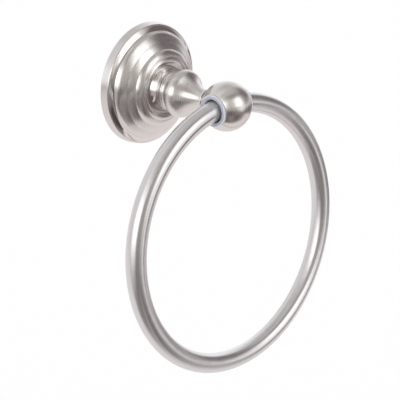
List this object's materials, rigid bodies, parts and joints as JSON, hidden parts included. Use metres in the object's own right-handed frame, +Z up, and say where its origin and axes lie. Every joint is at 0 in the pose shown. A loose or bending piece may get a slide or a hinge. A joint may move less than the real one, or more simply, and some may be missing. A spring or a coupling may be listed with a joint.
{
  "type": "towel ring",
  "caption": "Wall mounted towel ring: stepped round escutcheon, bell shaped post and a cross bored ball in which a round ring hangs and turns in flanged bushes.",
  "frame": {"origin": "centre of the escutcheon's back, on the wall plane", "axes": "+Y into the wall, so the post stands out along -Y; +Z up; X along the ring's turning axis"},
  "size_m": [0.1522, 0.0818, 0.1794],
  "materials": {
    "satin_nickel": "satin nickel with a fine turned grain",
    "polished_nickel": "bright nickel",
    "brushed_ring": "nickel brushed along the tube",
    "milky_nylon": "milky, lets some light through",
    "plain_steel": "bright zinc plated hardware",
    "zinc_plate": "stamped zinc plated steel",
    "dark_steel": "black oxide"
  },
  "bodies": {
    "wall_post": {"escutcheon": "satin_nickel", "neck_collar": "polished_nickel", "post": "satin_nickel", "tip_collar": "polished_nickel", "ball": "satin_nickel", "bush_left": "milky_nylon", "bush_right": "milky_nylon", "tie_rod": "plain_steel", "flat_washer": "plain_steel", "spring_washer": "plain_steel", "rod_nut": "plain_steel", "wall_bracket": "zinc_plate", "set_screw": "dark_steel"},
    "swing_ring": {"ring": "brushed_ring", "joint_pin": "plain_steel"}
  },
  "joints": [
    {"name": "ring_swing", "type": "hinge", "parent": "wall_post", "child": "swing_ring", "pos_m": [0, -0.0585, 0], "axis": [-1, 0, 0], "range_deg": [-28.8, 194.8]}
  ]
}
